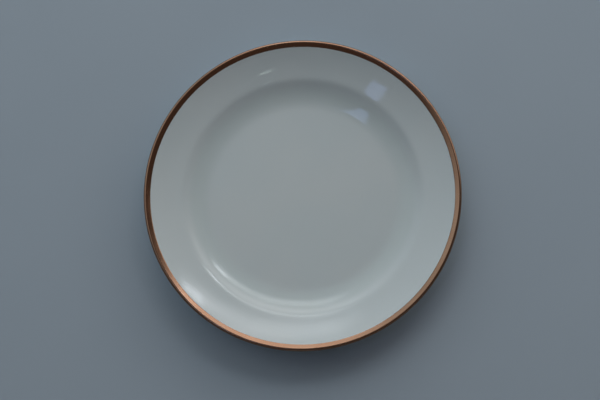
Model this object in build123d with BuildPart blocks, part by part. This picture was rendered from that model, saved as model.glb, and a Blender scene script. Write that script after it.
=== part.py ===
"""China dinner plate with a gilt rim band: a round flat-rimmed porcelain plate on a foot ring.

A plate is one fired pot and the coats fired onto it, so the pieces are layers that meet face to face:
the porcelain body, the glaze over it, the glaze inside the foot ring, and the gilding round the lip.
The foot ring is wiped clean before firing, which parts the two glazes and leaves bare porcelain to stand on.

Units are millimetres. The origin is the centre of the plane that the foot ring rests on, and +Z is up,
out of the eating face. Every piece is a turned form about Z, drawn as a half section: X is the radius.
"""

import os

from build123d import *
from math import cos, radians, tan

# --- driving dimensions ---------------------------------------------------------------------------
plate_diameter = 250.0
plate_height = 24.5

# coats
glaze_thickness = 0.25
gilt_thickness = 0.12
gilt_width = 5.3  # seen from above, from the plate's edge inwards
gilt_wrap = 2.6  # how far the gilding comes down from the lip's top, round the edge

# eating face, from the centre outwards
well_corner_radius = 83.0  # where the well's floor would meet the cavetto if the turn were sharp
well_turn = 42.5  # radius of the soft turn from the floor up into the cavetto
cavetto_slope = 29.0  # degrees, at its steepest
verge_radius = 95.1  # the edge where the cavetto turns out into the rim
verge_turn = 22.0
rim_slope_inner = 15.0  # degrees, next to the verge
rim_slope_outer = 26.0  # degrees, next to the lip
rim_bend_radius = 111.0  # where those two slopes would meet; a long soft arc joins them
rim_bend_turn = 130.0

# lip
lip_depth = 3.9
lip_turn_top = 1.6
lip_turn_under = 1.3

# underside, from the lip inwards
rim_thickness = 3.5
under_bend_turn = 110.0
under_verge_radius = 97.0
under_verge_thickness = 4.2
under_verge_turn = 30.0
floor_thickness = 4.2

# foot ring
foot_radius = 77.6  # outside, where it rests
foot_width = 3.4
foot_root_radius = 79.4  # where its outer wall meets the underside
foot_root_rise = 0.3  # above the recess inside the ring
foot_root_turn = 2.5
foot_edge_turn = 0.9
foot_inner_lean = 1.2
recess_turn = 1.6
bare_foot_height = 0.45  # the glaze stops this far above the resting plane

# --- places that follow from them -----------------------------------------------------------------
glazed_radius = plate_diameter / 2 - gilt_thickness
glazed_height = plate_height - gilt_thickness


def rise(slope, run):
    """Height gained over a horizontal run on a slope in degrees."""
    return run * tan(radians(slope))


# The lip's top is the crest of its turn, so the corner that the turn cuts off lies a little higher.
lip_corner_height = glazed_height + lip_turn_top * (
    rise(rim_slope_outer, 1) + 1 / cos(radians(rim_slope_outer)) - 1
)
rim_bend_height = lip_corner_height - rise(rim_slope_outer, glazed_radius - rim_bend_radius)
verge_height = rim_bend_height - rise(rim_slope_inner, rim_bend_radius - verge_radius)
floor_height = verge_height - rise(cavetto_slope, verge_radius - well_corner_radius)
recess_height = floor_height - floor_thickness
under_verge_height = (
    verge_height + rise(rim_slope_inner, under_verge_radius - verge_radius) - under_verge_thickness
)

# --- the plate's outline with its glaze on, as a half section ---------------------------------------
# Each corner is (radius, height, turn): the turn is the radius of the arc that rounds it.
glazed_corners = [
    (well_corner_radius, floor_height, well_turn),
    (verge_radius, verge_height, verge_turn),
    (rim_bend_radius, rim_bend_height, rim_bend_turn),
    (glazed_radius, lip_corner_height, lip_turn_top),
    (glazed_radius, lip_corner_height - lip_depth, lip_turn_under),
    (rim_bend_radius, rim_bend_height - rim_thickness, under_bend_turn),
    (under_verge_radius, under_verge_height, under_verge_turn),
    (foot_root_radius, recess_height + foot_root_rise, foot_root_turn),
    (foot_radius, 0, foot_edge_turn),
    (foot_radius - foot_width, 0, foot_edge_turn),
    (foot_radius - foot_width - foot_inner_lean, recess_height, recess_turn),
]

with BuildSketch(Plane.XZ) as glazed_section:
    with BuildLine():
        FilletPolyline(
            (0, floor_height),
            *[(radius, height) for radius, height, _ in glazed_corners],
            (0, recess_height),
            radius=[turn for _, _, turn in glazed_corners],
        )
        Line((0, recess_height), (0, floor_height))
    make_face()

# The bottom of the foot ring, which carries no glaze.
with BuildSketch(Plane.XZ) as bare_foot_section:
    add(glazed_section.sketch_local)
    Rectangle(plate_diameter, 2 * bare_foot_height, mode=Mode.INTERSECT)

# --- porcelain body: everything inside the glaze, with the bare foot ---------------------------------
with BuildSketch(Plane.XZ) as body_section:
    add(glazed_section.sketch_local)
    mirror(about=Plane.YZ)
    offset(amount=-glaze_thickness, mode=Mode.REPLACE)
    split(bisect_by=Plane.YZ)
    add(bare_foot_section.sketch_local)

with BuildPart() as porcelain_body:
    revolve(body_section.sketch, axis=Axis.Z)

# --- glaze: what lies between the outline and the body, in two coats parted by the bare foot ----------
with BuildSketch(Plane.XZ) as glaze_section:
    add(glazed_section.sketch_local)
    add(body_section.sketch_local, mode=Mode.SUBTRACT)

coats = glaze_section.sketch.faces().sort_by(SortBy.AREA)

with BuildPart() as glaze_coat:
    revolve(coats[-1], axis=Axis.Z)

with BuildPart() as foot_recess_glaze:
    revolve(coats[0], axis=Axis.Z)

# --- gilt band: a skin on the glaze, from inside the rim's edge over the lip and a little way down ------
gilt_inner_radius = plate_diameter / 2 - gilt_width
gilt_low = plate_height - gilt_wrap
inside_lip_radius = glazed_radius - lip_turn_top  # a line that stays within the rim's thickness
inside_rim_height = glazed_height - lip_depth

with BuildSketch(Plane.XZ) as gilt_section:
    add(glazed_section.sketch_local)
    mirror(about=Plane.YZ)
    offset(amount=gilt_thickness, mode=Mode.REPLACE)
    add(glazed_section.sketch_local, mode=Mode.SUBTRACT)
    with BuildLine():
        Polyline(
            (gilt_inner_radius, inside_rim_height),
            (gilt_inner_radius, 2 * plate_height),
            (plate_diameter, 2 * plate_height),
            (plate_diameter, gilt_low),
            (inside_lip_radius, gilt_low),
            close=True,
        )
    make_face(mode=Mode.INTERSECT)

with BuildPart() as gilt_rim_band:
    revolve(gilt_section.sketch, axis=Axis.Z)

# --- labels and files -----------------------------------------------------------------------------
porcelain_body.part.label = "porcelain_body"
glaze_coat.part.label = "glaze_coat"
foot_recess_glaze.part.label = "foot_recess_glaze"
gilt_rim_band.part.label = "gilt_rim_band"

os.makedirs("parts", exist_ok=True)
export_step(porcelain_body.part, "parts/porcelain_body.step")
export_step(glaze_coat.part, "parts/glaze_coat.step")
export_step(foot_recess_glaze.part, "parts/foot_recess_glaze.step")
export_step(gilt_rim_band.part, "parts/gilt_rim_band.step")

print(f"well floor {floor_height:.2f}, recess {recess_height:.2f}, verge {verge_height:.2f} above the table")
print(f"faces in the glaze section: {len(coats)}, in the gilt section: {len(gilt_section.sketch.faces())}")
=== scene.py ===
"""The looks of the china dinner plate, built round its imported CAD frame.

Metres, +Z up. The plate lies on its foot ring on a pale floor, and the camera looks down on the eating
face, a little off the plate's axis. Every piece is a fine turned form that stands for one CAD node: the same
section as the CAD's, with its turns eased and the small unevenness of a fired and hand-gilded plate.
"""

from math import atan2, ceil, cos, pi, radians, sin, tan

import bpy
import numpy as np
from mathutils import Matrix, Vector


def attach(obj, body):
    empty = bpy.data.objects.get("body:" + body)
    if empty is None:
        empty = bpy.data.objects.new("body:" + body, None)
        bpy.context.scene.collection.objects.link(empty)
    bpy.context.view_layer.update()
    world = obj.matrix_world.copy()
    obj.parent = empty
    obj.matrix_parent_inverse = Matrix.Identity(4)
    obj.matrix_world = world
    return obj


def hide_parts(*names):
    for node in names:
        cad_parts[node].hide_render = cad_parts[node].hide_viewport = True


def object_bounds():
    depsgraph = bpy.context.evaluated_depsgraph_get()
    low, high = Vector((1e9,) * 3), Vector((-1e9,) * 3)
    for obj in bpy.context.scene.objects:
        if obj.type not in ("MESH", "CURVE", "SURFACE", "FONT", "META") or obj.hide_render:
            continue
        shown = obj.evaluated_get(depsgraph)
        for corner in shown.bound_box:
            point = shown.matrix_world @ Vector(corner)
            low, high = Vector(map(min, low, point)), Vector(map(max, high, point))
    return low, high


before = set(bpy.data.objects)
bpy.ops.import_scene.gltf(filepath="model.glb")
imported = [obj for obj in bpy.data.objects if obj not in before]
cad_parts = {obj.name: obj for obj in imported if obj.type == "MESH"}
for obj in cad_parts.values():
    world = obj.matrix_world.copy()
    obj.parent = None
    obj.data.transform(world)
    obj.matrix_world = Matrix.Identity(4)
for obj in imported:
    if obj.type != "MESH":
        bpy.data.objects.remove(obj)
cad_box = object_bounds()

# --- the plate's section, in millimetres, with the CAD's own driving dimensions -------------------
MM = 0.001
PLATE_RADIUS, PLATE_HEIGHT = 125.0, 24.5
GLAZE, GILT = 0.25, 0.12
GILT_WIDTH, GILT_WRAP = 5.3, 2.6

WELL_CORNER, WELL_TURN = 83.0, 42.5
CAVETTO_SLOPE = 29.0
VERGE, VERGE_TURN = 95.1, 22.0
RIM_SLOPE_INNER, RIM_SLOPE_OUTER = 15.0, 26.0
RIM_BEND, RIM_BEND_TURN = 111.0, 130.0
LIP_DEPTH, LIP_TURN_TOP, LIP_TURN_UNDER = 3.9, 1.6, 1.3

RIM_THICKNESS, UNDER_BEND_TURN = 3.5, 110.0
UNDER_VERGE, UNDER_VERGE_THICKNESS, UNDER_VERGE_TURN = 97.0, 4.2, 30.0
FLOOR_THICKNESS = 4.2
FOOT, FOOT_WIDTH, FOOT_EDGE_TURN = 77.6, 3.4, 0.9
FOOT_ROOT, FOOT_ROOT_RISE, FOOT_ROOT_TURN = 79.4, 0.3, 2.5
FOOT_LEAN, RECESS_TURN = 1.2, 1.6
BARE_FOOT = 0.45


def rise(slope, run):
    """Height gained over a horizontal run on a slope in degrees."""
    return run * tan(radians(slope))


glazed_radius = PLATE_RADIUS - GILT
lip_crest = LIP_TURN_TOP * (rise(RIM_SLOPE_OUTER, 1) + 1 / cos(radians(RIM_SLOPE_OUTER)) - 1)
lip_corner = PLATE_HEIGHT - GILT + lip_crest
rim_bend_height = lip_corner - rise(RIM_SLOPE_OUTER, glazed_radius - RIM_BEND)
verge_height = rim_bend_height - rise(RIM_SLOPE_INNER, RIM_BEND - VERGE)
floor_height = verge_height - rise(CAVETTO_SLOPE, VERGE - WELL_CORNER)
recess_height = floor_height - FLOOR_THICKNESS
under_verge_height = verge_height + rise(RIM_SLOPE_INNER, UNDER_VERGE - VERGE) - UNDER_VERGE_THICKNESS

CORNERS = [  # radius, height, turn
    (WELL_CORNER, floor_height, WELL_TURN),
    (VERGE, verge_height, VERGE_TURN),
    (RIM_BEND, rim_bend_height, RIM_BEND_TURN),
    (glazed_radius, lip_corner, LIP_TURN_TOP),
    (glazed_radius, lip_corner - LIP_DEPTH, LIP_TURN_UNDER),
    (RIM_BEND, rim_bend_height - RIM_THICKNESS, UNDER_BEND_TURN),
    (UNDER_VERGE, under_verge_height, UNDER_VERGE_TURN),
    (FOOT_ROOT, recess_height + FOOT_ROOT_RISE, FOOT_ROOT_TURN),
    (FOOT, 0.0, FOOT_EDGE_TURN),
    (FOOT - FOOT_WIDTH, 0.0, FOOT_EDGE_TURN),
    (FOOT - FOOT_WIDTH - FOOT_LEAN, recess_height, RECESS_TURN),
]


def lengths_along(path):
    """How far each point of a path lies along it."""
    return np.concatenate([[0], np.cumsum(np.linalg.norm(np.diff(path, axis=0), axis=1))])


def at_lengths(path, lengths):
    """Points on a path at lengths along it."""
    along = lengths_along(path)
    return np.stack([np.interp(lengths, along, path[:, c]) for c in (0, 1)], -1)


def normals_of(path):
    """Unit normals on the left of a path, which is the outside of the plate's outline."""
    run = np.gradient(path, axis=0)
    out = np.stack([-run[:, 1], run[:, 0]], 1)
    return out / np.linalg.norm(out, axis=1)[:, None]


def rounded_path(start, corners, end, arc_step):
    """A polyline whose corners are rounded by arcs, each a run of points that turn by about the step."""
    ring = [np.array(start, float)] + [np.array(c[:2], float) for c in corners] + [np.array(end, float)]
    points = [ring[0]]
    for before, here, after, (_, _, turn) in zip(ring, ring[1:], ring[2:], corners):
        into = (here - before) / np.linalg.norm(here - before)
        out = (after - here) / np.linalg.norm(after - here)
        side = np.sign(into[0] * out[1] - into[1] * out[0])
        angle = np.arccos(np.clip(into @ out, -1, 1))
        first = here - into * turn * tan(angle / 2)
        centre = first + side * turn * np.array([-into[1], into[0]])
        bearing = atan2(*(first - centre)[::-1])
        for share in np.linspace(0, 1, max(3, ceil(angle / arc_step) + 1)):
            a = bearing + side * angle * share
            points.append(centre + turn * np.array([cos(a), sin(a)]))
    return np.array(points + [ring[-1]])


MIRRORED = 200  # points by which the section goes on past its ends while it is eased


def eased(path, step, reach, reach_at_edges, edges_span):
    """The path with its turns eased over a reach, as firing and glaze ease them, and hardly at all near the
    lip and the foot ring, where the turns are small."""
    total = lengths_along(path)[-1]
    along = np.arange(0, total, step)
    fine = at_lengths(path, along)
    small = np.concatenate([along[[fine[:, 0].argmax()]], along[fine[:, 1] < 2 * FOOT_EDGE_TURN]])
    gap = np.abs(along[:, None] - small[None, :]).min(1)
    width = np.interp(gap, edges_span, (reach_at_edges, reach))
    # Past its two ends, on the axis, the section goes on as its own mirror image.
    across_axis = np.array([-1.0, 1.0])
    before = fine[MIRRORED:0:-1] * across_axis
    beyond = fine[-2 : -2 - MIRRORED : -1] * across_axis
    longer = np.vstack([before, fine, beyond])
    places = (np.arange(len(longer)) - MIRRORED) * step
    offsets = np.linspace(-2.5, 2.5, 21)
    weights = np.exp(-(offsets**2) / 2)
    out = np.zeros_like(fine)
    for offset, weight in zip(offsets, weights / weights.sum()):
        wanted = along + offset * width
        out += weight * np.stack([np.interp(wanted, places, longer[:, c]) for c in (0, 1)], -1)
    out[0, 0] = out[-1, 0] = 0.0
    return out


outline = eased(
    rounded_path((0, floor_height), CORNERS, (0, recess_height), radians(2)),
    step=0.1, reach=0.7, reach_at_edges=0.15, edges_span=(4.0, 12.0),
)
outline_along = lengths_along(outline)
outline_normals = normals_of(outline)
outline_normals[0], outline_normals[-1] = (0, 1), (0, -1)
LIP = int(outline[:, 0].argmax())


def thinned(first, last, longest, sharpest):
    """Indices of the outline between two places, the closer together the more it turns."""
    turn = np.arccos(np.clip((outline_normals[1:] * outline_normals[:-1]).sum(1), -1, 1))
    cost = np.concatenate([[0], np.cumsum(np.diff(outline_along) / longest + turn / sharpest)])
    cost = cost[first : last + 1]
    wanted = np.linspace(cost[0], cost[-1], ceil(cost[-1] - cost[0]) + 1)
    return np.unique(first + np.searchsorted(cost, wanted).clip(0, last - first))


# --- turned meshes --------------------------------------------------------------------------------
AROUND = 360
ON_AXIS = 1e-6  # a radius below this is a point on the axis
TURNS = np.arange(AROUND) * 2 * pi / AROUND


def ripples(seed, count, longest, shortest, size):
    """Waves for the slight unevenness of the fired surface, as wave numbers, phases and heights."""
    rng = np.random.default_rng(seed)
    lengths = np.geomspace(longest, shortest, count)
    bearings = rng.uniform(0, 2 * pi, count)
    heights = size * (lengths / longest) ** 1.3 * rng.uniform(0.6, 1.2, count)
    phases = rng.uniform(0, 2 * pi, count)
    return 2 * pi / lengths * np.cos(bearings), 2 * pi / lengths * np.sin(bearings), phases, heights


RIPPLES = ripples(seed=11, count=18, longest=60.0, shortest=16.0, size=0.016)
RIM_WAVES = ((2, 0.32, 1.57), (3, 0.08, 1.9), (5, 0.02, 0.4))  # how many round the rim, height, phase
WARPED_FROM = 80.0  # radius where the slow wave starts
RIPPLED_FROM, RIPPLED_OVER = 0.5, 2.5  # height where the ripples start, and over which they grow
OVALITY, OVAL_PHASE = 0.0003, 1.1


def warp(radius, height, turn):
    """Where firing moves a point, in millimetres: a slow wave that grows towards the lip, and small ripples.
    The foot ring stays flat and round."""
    share = np.clip((radius - WARPED_FROM) / (PLATE_RADIUS - WARPED_FROM), 0, 1) ** 2
    wave = sum(size * np.cos(count * turn + phase) for count, size, phase in RIM_WAVES)
    x, y = radius * np.cos(turn), radius * np.sin(turn)
    across, along, phase, size = (part[:, None] for part in RIPPLES)
    ripple = (size * np.cos(across * x + along * y + phase)).sum(0)
    above_foot = np.clip((height - RIPPLED_FROM) / RIPPLED_OVER, 0, 1)
    oval = 1 + OVALITY * share * np.cos(2 * turn + OVAL_PHASE)
    return radius * oval, height + share * wave + above_foot * ripple


def turned(name, section):
    """A closed mesh turned round +Z from a section: rows of (radius, height), each one pair or one pair per
    turn. A first or last row at radius 0 becomes a single point; a section with neither is a ring that closes
    on itself."""
    verts, index = [], []
    for r, z in section:
        radius, height = (np.broadcast_to(value, AROUND).astype(float) for value in (r, z))
        if radius[0] < ON_AXIS:
            index.append([len(verts)] * AROUND)
            _, warped = warp(radius[:1], height[:1], TURNS[:1])
            verts.append((0.0, 0.0, warped[0] * MM))
            continue
        index.append(list(range(len(verts), len(verts) + AROUND)))
        radius, height = warp(radius, height, TURNS)
        verts.extend(zip(radius * np.cos(TURNS) * MM, radius * np.sin(TURNS) * MM, height * MM))
    is_ring = np.min(section[0][0]) > ON_AXIS
    following = index[1:] + index[:1] if is_ring else index[1:]
    faces = []
    for inner, outer in zip(index, following):
        for k in range(AROUND):
            j = (k + 1) % AROUND
            corners = dict.fromkeys((inner[k], outer[k], outer[j], inner[j]))
            if len(corners) > 2:
                faces.append(tuple(corners))
    mesh = bpy.data.meshes.new(name)
    mesh.from_pydata(verts, [], faces)
    mesh.validate()
    mesh.shade_smooth()
    obj = bpy.data.objects.new(name, mesh)
    bpy.context.scene.collection.objects.link(obj)
    return obj


def rows(indices, depth=0.0):
    """Section rows at places in the outline, set in from it by a depth."""
    return [tuple(point) for point in outline[indices] - depth * outline_normals[indices]]


# Where the glaze ends on the foot ring's outer and inner wall.
on_bare_foot = np.nonzero((outline[:, 1] < BARE_FOOT) & (outline[:, 0] > FOOT - 2 * FOOT_WIDTH))[0]
bare_from, bare_to = int(on_bare_foot[0]), int(on_bare_foot[-1])
FINE = {"longest": 1.6, "sharpest": radians(4)}
COARSE = {"longest": 5.0, "sharpest": radians(12)}

face_rows = thinned(0, bare_from, **FINE)
face_inner_rows = thinned(0, bare_from, **COARSE)
recess_rows = thinned(bare_to, len(outline) - 1, **FINE)
recess_inner_rows = thinned(bare_to, len(outline) - 1, **COARSE)
foot_rows = thinned(bare_from, bare_to, **FINE)

glaze = turned("glaze_coat_fired", rows(face_rows) + rows(face_inner_rows, GLAZE)[::-1])
recess_glaze = turned("foot_recess_glaze_fired", rows(recess_rows) + rows(recess_inner_rows, GLAZE)[::-1])
body = turned(
    "porcelain_body_fired", rows(face_inner_rows, GLAZE) + rows(foot_rows) + rows(recess_inner_rows, GLAZE)
)

# --- gilding: rows across the band, between a slightly uneven inner and outer edge ----------------
inner_edge = np.interp(PLATE_RADIUS - GILT_WIDTH, outline[:LIP, 0], outline_along[:LIP])
outer_edge = outline_along[LIP + int(np.argmax(outline[LIP:, 1] < PLATE_HEIGHT - GILT_WRAP))]


def hand_line(seed, size):
    """How far a line drawn by hand on a turning plate strays, at each turn, in millimetres."""
    rng = np.random.default_rng(seed)
    waves = range(2, 26)
    return size * sum(rng.normal() / n**0.9 * np.cos(n * TURNS + rng.uniform(0, 2 * pi)) for n in waves)


ROWS_ACROSS = 44
THINNEST = 0.02
TAPER = 0.7  # how far in from its edges the gilding reaches its full thickness
BEDDED = 0.03  # how far the gilding's underside lies in the glaze
inner_along = inner_edge + hand_line(4, 0.05)
outer_along = outer_edge + hand_line(9, 0.07)


def on_outline(along, lift):
    """Radius and height at lengths along the outline, lifted off it."""
    r, z = (np.interp(along, outline_along, outline[:, c]) for c in (0, 1))
    nr, nz = (np.interp(along, outline_along, outline_normals[:, c]) for c in (0, 1))
    return r + lift * nr, z + lift * nz


def gilt_band():
    """The gilding: thinnest at its edges, and of full thickness a little way in from them."""
    outer_face, inner_face = [], []
    for share in np.linspace(0, 1, ROWS_ACROSS):
        along = inner_along + (outer_along - inner_along) * share
        from_edge = np.minimum(along - inner_along, outer_along - along)
        lift = THINNEST + (GILT - THINNEST) * np.clip(from_edge / TAPER, 0, 1) ** 0.5
        outer_face.append(on_outline(along, lift))
        inner_face.append(on_outline(along, -BEDDED))
    return turned("gilt_rim_band_fired", outer_face + inner_face[::-1])


band = gilt_band()


# --- materials ------------------------------------------------------------------------------------
FALL_TO_RADIUS = -0.6  # a drop in height counts as more radius, so that streaks go on down the lip's outside


class Nodes:
    """A short way to write the nodes of a material or a light."""

    def __init__(self, tree):
        self.tree = tree

    def node(self, kind, inputs=None, **settings):
        made = self.tree.nodes.new(kind)
        for key, value in settings.items():
            setattr(made, key, value)
        for key, value in (inputs or {}).items():
            self.plug(value, made.inputs[key])
        return made

    def plug(self, value, socket):
        if isinstance(value, bpy.types.NodeSocket):
            self.tree.links.new(value, socket)
        else:
            socket.default_value = value

    def math(self, operation, *values, clamp=False):
        made = self.node("ShaderNodeMath", operation=operation, use_clamp=clamp)
        for value, socket in zip(values, made.inputs):
            self.plug(value, socket)
        return made.outputs[0]

    def noise(self, vector, scale, detail=2.0, roughness=0.5):
        inputs = {"Vector": vector, "Scale": scale, "Detail": detail, "Roughness": roughness}
        return self.node("ShaderNodeTexNoise", inputs).outputs["Fac"]

    def spread(self, value, low, high, to_low=0.0, to_high=1.0):
        inputs = {"Value": value, "From Min": low, "From Max": high, "To Min": to_low, "To Max": to_high}
        made = self.node("ShaderNodeMapRange", inputs, clamp=True, interpolation_type="SMOOTHSTEP")
        return made.outputs["Result"]

    def blend(self, share, first, second):
        made = self.node("ShaderNodeMix", data_type="RGBA")
        self.plug(share, made.inputs["Factor"])
        self.plug(first, made.inputs["A"])
        self.plug(second, made.inputs["B"])
        return made.outputs["Result"]

    def bump(self, height, distance, strength, normal=None):
        inputs = {"Height": height, "Distance": distance, "Strength": strength}
        if normal is not None:
            inputs["Normal"] = normal
        return self.node("ShaderNodeBump", inputs).outputs["Normal"]

    def radius(self, place):
        """Distance from the plate's axis."""
        split = self.node("ShaderNodeSeparateXYZ", {"Vector": place})
        squares = [self.math("MULTIPLY", split.outputs[c], split.outputs[c]) for c in "XY"]
        return self.math("SQRT", self.math("ADD", *squares))

    def round_the_axis(self, place, along, across):
        """Coordinates that follow the plate round, so that noise in them makes streaks along the rim."""
        split = self.node("ShaderNodeSeparateXYZ", {"Vector": place})
        radius = self.radius(place)
        made = self.node("ShaderNodeCombineXYZ")
        for c in "XY":
            unit = self.math("DIVIDE", split.outputs[c], radius)
            self.plug(self.math("MULTIPLY", unit, along), made.inputs[c])
        depth = self.math("ADD", radius, self.math("MULTIPLY", split.outputs["Z"], FALL_TO_RADIUS))
        self.plug(self.math("MULTIPLY", depth, across), made.inputs["Z"])
        return made.outputs[0]


class Finish(Nodes):
    """A material of one shader, whose own sockets are set by name with _ for a space."""

    def __init__(self, name):
        self.material = bpy.data.materials.new(name)
        self.material.use_nodes = True
        super().__init__(self.material.node_tree)
        self.tree.nodes.clear()
        self.shader = self.node("ShaderNodeBsdfPrincipled")
        self.node("ShaderNodeOutputMaterial", {"Surface": self.shader.outputs["BSDF"]})

    def set(self, **sockets):
        for key, value in sockets.items():
            self.plug(value, self.shader.inputs[key.replace("_", " ")])

    def place(self):
        return self.node("ShaderNodeTexCoord").outputs["Object"]


def glaze_material():
    """Clear glaze over cool white porcelain: even and glossy, a little darker and greener in the
    turn from the well to the cavetto, with a few tiny specks from the kiln."""
    m = Finish("porcelain_glaze")
    place = m.place()
    radius = m.radius(place)
    clouds = m.spread(m.noise(place, 14.0), 0.35, 0.65)
    base = m.blend(clouds, (0.73, 0.80, 0.80, 1), (0.71, 0.79, 0.795, 1))
    # A ring a little darker and greener in the turn from the well to the cavetto, half way to the darker
    # colour.
    past_well = m.spread(radius, (WELL_CORNER - 11.5) * MM, (WELL_CORNER - 2) * MM)
    before_verge = m.spread(radius, (VERGE - 3.1) * MM, (VERGE - 9.1) * MM)
    in_turn = m.math("MULTIPLY", past_well, before_verge, clamp=True)
    base = m.blend(m.math("MULTIPLY", in_turn, 0.5), base, (0.64, 0.74, 0.73, 1))
    cells = m.node("ShaderNodeTexVoronoi", {"Vector": place, "Scale": 95.0, "Randomness": 1.0})
    chance = m.node("ShaderNodeSeparateColor", {"Color": cells.outputs["Color"]}).outputs["Red"]
    rare = m.math("GREATER_THAN", chance, 0.965)
    speck = m.math("MULTIPLY", m.spread(cells.outputs["Distance"], 0.026, 0.012), rare)
    base = m.blend(m.math("MULTIPLY", speck, 0.55), base, (0.16, 0.11, 0.07, 1))
    gloss = m.spread(m.noise(place, 30.0, 3.0), 0.3, 0.7, 0.035, 0.055)
    wear = m.spread(m.noise(place, 130.0, 5.0, 0.62), 0.45, 0.75, 0.0, 0.02)
    m.set(Base_Color=base, Roughness=m.math("ADD", gloss, wear))
    m.set(IOR=1.5, Normal=m.bump(m.noise(place, 190.0, 2.0), 0.00002, 0.4))
    return m.material


def biscuit_material():
    """Bare fired porcelain: matt, fine-grained, a little soiled where it has stood on shelves."""
    m = Finish("bare_porcelain")
    place = m.place()
    grain = m.spread(m.noise(place, 90.0, 4.0), 0.4, 0.7)
    base = m.blend(grain, (0.76, 0.74, 0.69, 1), (0.62, 0.59, 0.53, 1))
    grime = m.spread(m.noise(m.round_the_axis(place, 2.0, 900.0), 3.0, 4.0, 0.6), 0.5, 0.75, 0.0, 0.5)
    base = m.blend(grime, base, (0.40, 0.36, 0.30, 1))
    m.set(Base_Color=base, Roughness=m.spread(m.noise(place, 400.0, 3.0), 0.3, 0.7, 0.62, 0.85))
    m.set(Normal=m.bump(m.noise(place, 2500.0, 3.0), 0.00003, 0.6))
    return m.material


def gilt_material():
    """Copper-gold brushed on with the plate turning: fine streaks along the rim, and thin places a little
    darker."""
    m = Finish("fired_gilding")
    place = m.place()
    streaks = m.noise(m.round_the_axis(place, 1.2, 1500.0), 4.0, 4.0, 0.6)
    patches = m.noise(place, 45.0, 3.0)
    base = m.blend(m.spread(patches, 0.35, 0.65), (0.375, 0.22, 0.145, 1), (0.345, 0.195, 0.125, 1))
    base = m.blend(m.spread(streaks, 0.5, 0.75, 0.0, 0.5), base, (0.275, 0.148, 0.09, 1))
    rough = m.math("ADD", m.spread(patches, 0.3, 0.7, 0.17, 0.24), m.spread(streaks, 0.4, 0.7, 0.0, 0.06))
    m.set(Base_Color=base, Roughness=rough, Metallic=1.0, Normal=m.bump(streaks, 0.00001, 0.5))
    return m.material


GLAZED, BISCUIT, GILDED = glaze_material(), biscuit_material(), gilt_material()
for piece, node, slot, material in (
    (glaze, "glaze_coat", "glaze", GLAZED),
    (recess_glaze, "foot_recess_glaze", "glaze", GLAZED),
    (body, "porcelain_body", "porcelain", BISCUIT),
    (band, "gilt_rim_band", "gilding", GILDED),
):
    piece.data.materials.append(material)
    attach(piece, "root")
    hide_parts(node)
    stood_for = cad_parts[node].data.materials
    stood_for.clear()
    stood_for.append(material)


# --- floor and backdrop: a wide pale bowl, so that no view ends in a hard corner ------------------
def floor_material():
    """Plain pale matt card, with a faint tooth."""
    m = Finish("studio_floor")
    place = m.place()
    clouds = m.spread(m.noise(place, 8.0), 0.3, 0.7)
    base = m.blend(clouds, (0.44, 0.52, 0.585, 1), (0.43, 0.51, 0.575, 1))
    m.set(Base_Color=base, Roughness=0.9, Normal=m.bump(m.noise(place, 700.0, 3.0), 0.0001, 0.15))
    return m.material


FLAT, SWEEP, WALL_TOP = 3.2, 1.6, 3.2  # radius of the flat floor, radius of the sweep, height of the wall
BOWL_AROUND, BOWL_ROWS = 96, 12


def backdrop():
    """A round floor that sweeps up into a wall."""
    section = [(FLAT * (k + 1) / BOWL_ROWS, 0.0) for k in range(BOWL_ROWS)]
    for k in range(BOWL_ROWS):
        climb = pi / 2 * (k + 1) / BOWL_ROWS
        section.append((FLAT + SWEEP * sin(climb), SWEEP * (1 - cos(climb))))
    section.append((FLAT + SWEEP, WALL_TOP))
    verts, faces = [(0.0, 0.0, 0.0)], []
    for r, z in section:
        for k in range(BOWL_AROUND):
            turn = 2 * pi * k / BOWL_AROUND
            verts.append((r * cos(turn), r * sin(turn), z))
    for k in range(BOWL_AROUND):
        j = (k + 1) % BOWL_AROUND
        faces.append((0, 1 + k, 1 + j))
        for row in range(len(section) - 1):
            inner, outer = 1 + row * BOWL_AROUND, 1 + (row + 1) * BOWL_AROUND
            faces.append((inner + k, outer + k, outer + j, inner + j))
    mesh = bpy.data.meshes.new("studio_floor")
    mesh.from_pydata(verts, [], faces)
    mesh.shade_smooth()
    mesh.materials.append(floor_material())
    obj = bpy.data.objects.new("studio_floor", mesh)
    bpy.context.scene.collection.objects.link(obj)


backdrop()

# --- light ----------------------------------------------------------------------------------------
middle = Vector((0.0, 0.0, 0.5 * (cad_box[0].z + cad_box[1].z)))


def seen_from_plate(azimuth, elevation, distance):
    """A place seen from the plate. Azimuth is counted from +X towards +Y, and elevation from the floor."""
    a, e = radians(azimuth), radians(elevation)
    return middle + distance * Vector((cos(a) * cos(e), sin(a) * cos(e), sin(e)))


WIDEST_FADE = 0.49  # as a share of a side, so that the fades of two opposite sides don't meet


def softbox(name, place, towards, size, edge, radiance, colour, turn=0.0):
    """A rectangular light that fades out over its edge, as bright in its middle as radiance says. Size is to
    the middle of the fade, and turn rolls the light about the way it faces."""
    data = bpy.data.lights.new(name, "AREA")
    data.shape = "RECTANGLE"
    data.size, data.size_y = (side + edge for side in size)
    data.energy = radiance * pi * data.size * data.size_y
    data.color = colour
    data.use_nodes = True
    m = Nodes(data.node_tree)
    on_light = m.node("ShaderNodeNewGeometry").outputs["Parametric"]
    on_side = m.node("ShaderNodeSeparateXYZ", {"Vector": on_light})
    fades = []
    for side, full in (("X", data.size), ("Y", data.size_y)):
        from_middle = m.math("ABSOLUTE", m.math("SUBTRACT", on_side.outputs[side], 0.5))
        fades.append(m.spread(from_middle, 0.5, 0.5 - min(edge / full, WIDEST_FADE)))
    m.plug(m.math("MULTIPLY", *fades), data.node_tree.nodes["Emission"].inputs["Strength"])
    obj = bpy.data.objects.new(name, data)
    bpy.context.scene.collection.objects.link(obj)
    facing = (place - towards).to_track_quat("Z", "Y").to_matrix() @ Matrix.Rotation(radians(turn), 3, "Z")
    obj.matrix_world = Matrix.Translation(place) @ facing.to_4x4()
    obj.visible_camera = False


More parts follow.
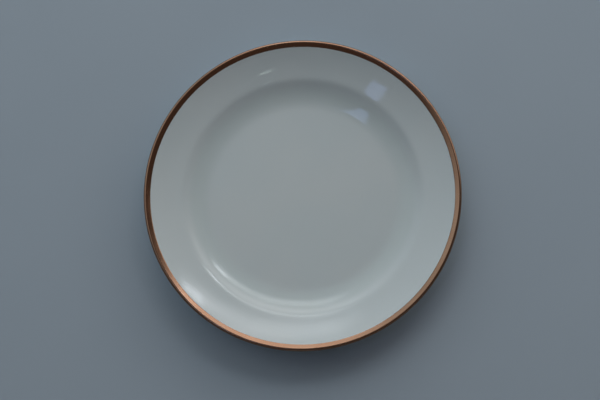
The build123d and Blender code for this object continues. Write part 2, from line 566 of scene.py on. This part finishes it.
DAYLIGHT = (1.0, 0.965, 0.93)

# A wide soft light, low beyond the plate's far side, and a brighter one above it.
WIDE_SIZE, WIDE_EDGE = (5.4, 0.85), 1.6
wide_place = seen_from_plate(68.0, 22.5, 2.6)
softbox("wide_key", wide_place, middle, WIDE_SIZE, WIDE_EDGE, 1.60, DAYLIGHT)
softbox("key_core", seen_from_plate(90.0, 44.7, 2.4), middle, (1.05, 0.51), 0.46, 2.36, (0.94, 0.97, 1.0))

# A window, whose reflections lie on the near left of the rim, the verge and the cavetto.
softbox("side_window", seen_from_plate(63.0, 45.3, 2.3), middle, (0.46, 0.36), 0.40, 2.8, (0.93, 0.96, 1.0))
window_core = seen_from_plate(57.8, 43.6, 2.2)
softbox("side_window_core", window_core, middle, (0.24, 0.21), 0.13, 3.7, (0.86, 0.92, 1.0))

# A broad dim light from the far left, which fills the shadows.
softbox("high_fill", seen_from_plate(137.0, 43.0, 2.8), middle, (2.9, 3.0), 2.0, 0.70, (0.80, 0.93, 1.0))

# Two narrow lights high above the camera, whose reflections lie on the far side of the rim.
far_window = seen_from_plate(198.6, 74.9, 3.0)
softbox("far_window", far_window, middle, (0.19, 1.20), 0.03, 2.3, (0.38, 0.55, 1.0), turn=32.6)
ceiling_lamp = seen_from_plate(-70.5, 72.0, 3.0)
softbox("ceiling_lamp", ceiling_lamp, middle, (0.14, 0.05), 0.02, 3.0, (0.85, 1.0, 0.92))

# The wide light stands in front of the wall, so another like it, turned outwards, lights the wall behind it.
wash_place, washed = Vector((1.21, 3.0, 1.01)), Vector((1.53, 3.79, 0.66))
softbox("wall_wash", wash_place, washed, WIDE_SIZE, WIDE_EDGE, 1.15, DAYLIGHT)

world = bpy.data.worlds.new("studio")
bpy.context.scene.world = world
world.use_nodes = True
surroundings = world.node_tree.nodes["Background"].inputs
surroundings["Color"].default_value = (1.0, 0.78, 0.68, 1)
surroundings["Strength"].default_value = 0.08

# --- camera: a long lens above the eating face, tilted off the plate's axis -----------------------
LENS, SENSOR = 120.0, 36.0
PLATE_SHARE = 0.5307  # the plate's width as a share of the image's width
TILT, TILT_TURN = 12.7, 12.0  # degrees off the plate's axis, and which way round, from the near side
OFF_CENTRE = (0.0068, 0.021)  # how far the plate is right of and above the image's middle, in plate widths


def aim_camera():
    """Places the camera so that the plate has its share of the image's width and its place in the image."""
    data = bpy.data.cameras.new("camera")
    data.lens, data.sensor_width = LENS, SENSOR
    data.clip_start, data.clip_end = 0.05, 30
    camera = bpy.data.objects.new("camera", data)
    bpy.context.scene.collection.objects.link(camera)
    bpy.context.scene.camera = camera
    lip_middle = Vector((0, 0, cad_box[1].z - LIP_TURN_TOP * MM))
    plate_width = cad_box[1].x - cad_box[0].x
    distance = LENS / SENSOR / PLATE_SHARE * plate_width
    tilt, turn = radians(TILT), radians(TILT_TURN)
    back = Vector((sin(tilt) * sin(turn), -sin(tilt) * cos(turn), cos(tilt)))
    up = (Vector((0, 1, 0)) - back * back.y).normalized()
    right = up.cross(back)
    aim = lip_middle - (right * OFF_CENTRE[0] + up * OFF_CENTRE[1]) * plate_width
    facing = Matrix((right, up, back)).transposed().to_4x4()
    camera.matrix_world = Matrix.Translation(aim + back * distance) @ facing


aim_camera()
bpy.context.scene.view_settings.view_transform = "Standard"
